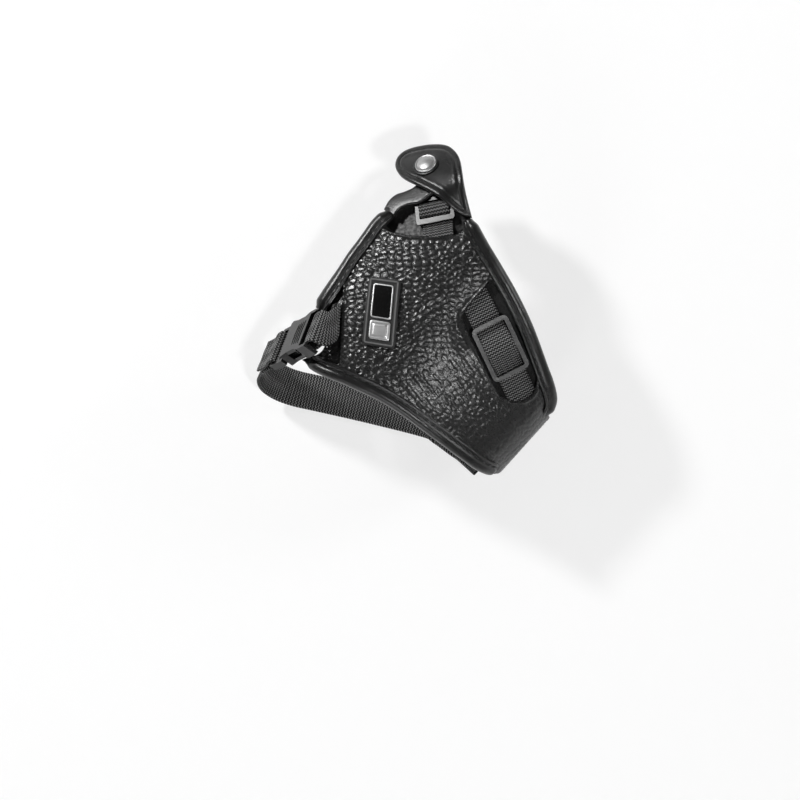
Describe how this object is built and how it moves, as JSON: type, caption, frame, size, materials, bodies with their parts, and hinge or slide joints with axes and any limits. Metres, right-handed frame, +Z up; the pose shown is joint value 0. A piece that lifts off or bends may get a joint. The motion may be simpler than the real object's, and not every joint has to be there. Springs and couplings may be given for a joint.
{
  "type": "camera hand grip strap",
  "caption": "Arched leather hand pad for gripping a camera, with webbing sliders, snap collar, side-release wrist strap and a tripod-socket plate.",
  "frame": {"origin": "middle of the bounding box, at its bottom: the table that the wrist strap and the plate lie on", "axes": "+Z up out of the pad, away from the hand; +Y towards the snap collar and the camera's strap lug; +X towards the little-finger side"},
  "size_m": [0.123, 0.1352, 0.0634],
  "materials": {
    "pebbled_leather": "semi-gloss, pebbled grain",
    "smooth_leather": "satin, smooth",
    "lining": "matt",
    "foam": "matt",
    "nylon": "ribbed webbing",
    "rubber": "matt",
    "buckle_plastic": "satin moulded",
    "gunmetal": "dark plated",
    "bright_steel": "bright plated",
    "silver": "satin",
    "black_aluminium": "black anodised"
  },
  "bodies": {
    "strap": {"pad_lining": "lining", "pad_foam": "foam", "pad_cover": "pebbled_leather", "thumb_panel": "pebbled_leather", "thumb_binding": "smooth_leather", "wrist_binding": "smooth_leather", "knuckle_binding": "smooth_leather", "collar_tongue": "smooth_leather", "snap_flap": "smooth_leather", "snap_cap": "bright_steel", "snap_socket": "bright_steel", "snap_stud": "bright_steel", "snap_rivet": "bright_steel", "grip_webbing": "nylon", "lug_webbing": "nylon", "grip_slider": "gunmetal", "lug_slider": "bright_steel", "badge_base": "rubber", "badge_upper_plate": "silver", "badge_lower_plate": "silver", "buckle_socket": "buckle_plastic", "buckle_webbing": "nylon", "wrist_webbing": "nylon", "base_plate": "black_aluminium", "plate_pad": "rubber"},
    "clip": {"buckle_clip": "buckle_plastic"},
    "screw": {"tripod_screw": "bright_steel"}
  },
  "joints": [
    {"name": "buckle_release", "type": "slide", "parent": "strap", "child": "clip", "axis": [-0.5794, -0.2697, -0.7692], "range_m": [0, 0.012], "deforming": ["wrist_webbing"]},
    {"name": "screw_turn", "type": "hinge", "parent": "strap", "child": "screw", "pos_m": [0.00745, -0.01044, 0], "axis": [0, 0, 1], "continuous": true}
  ]
}
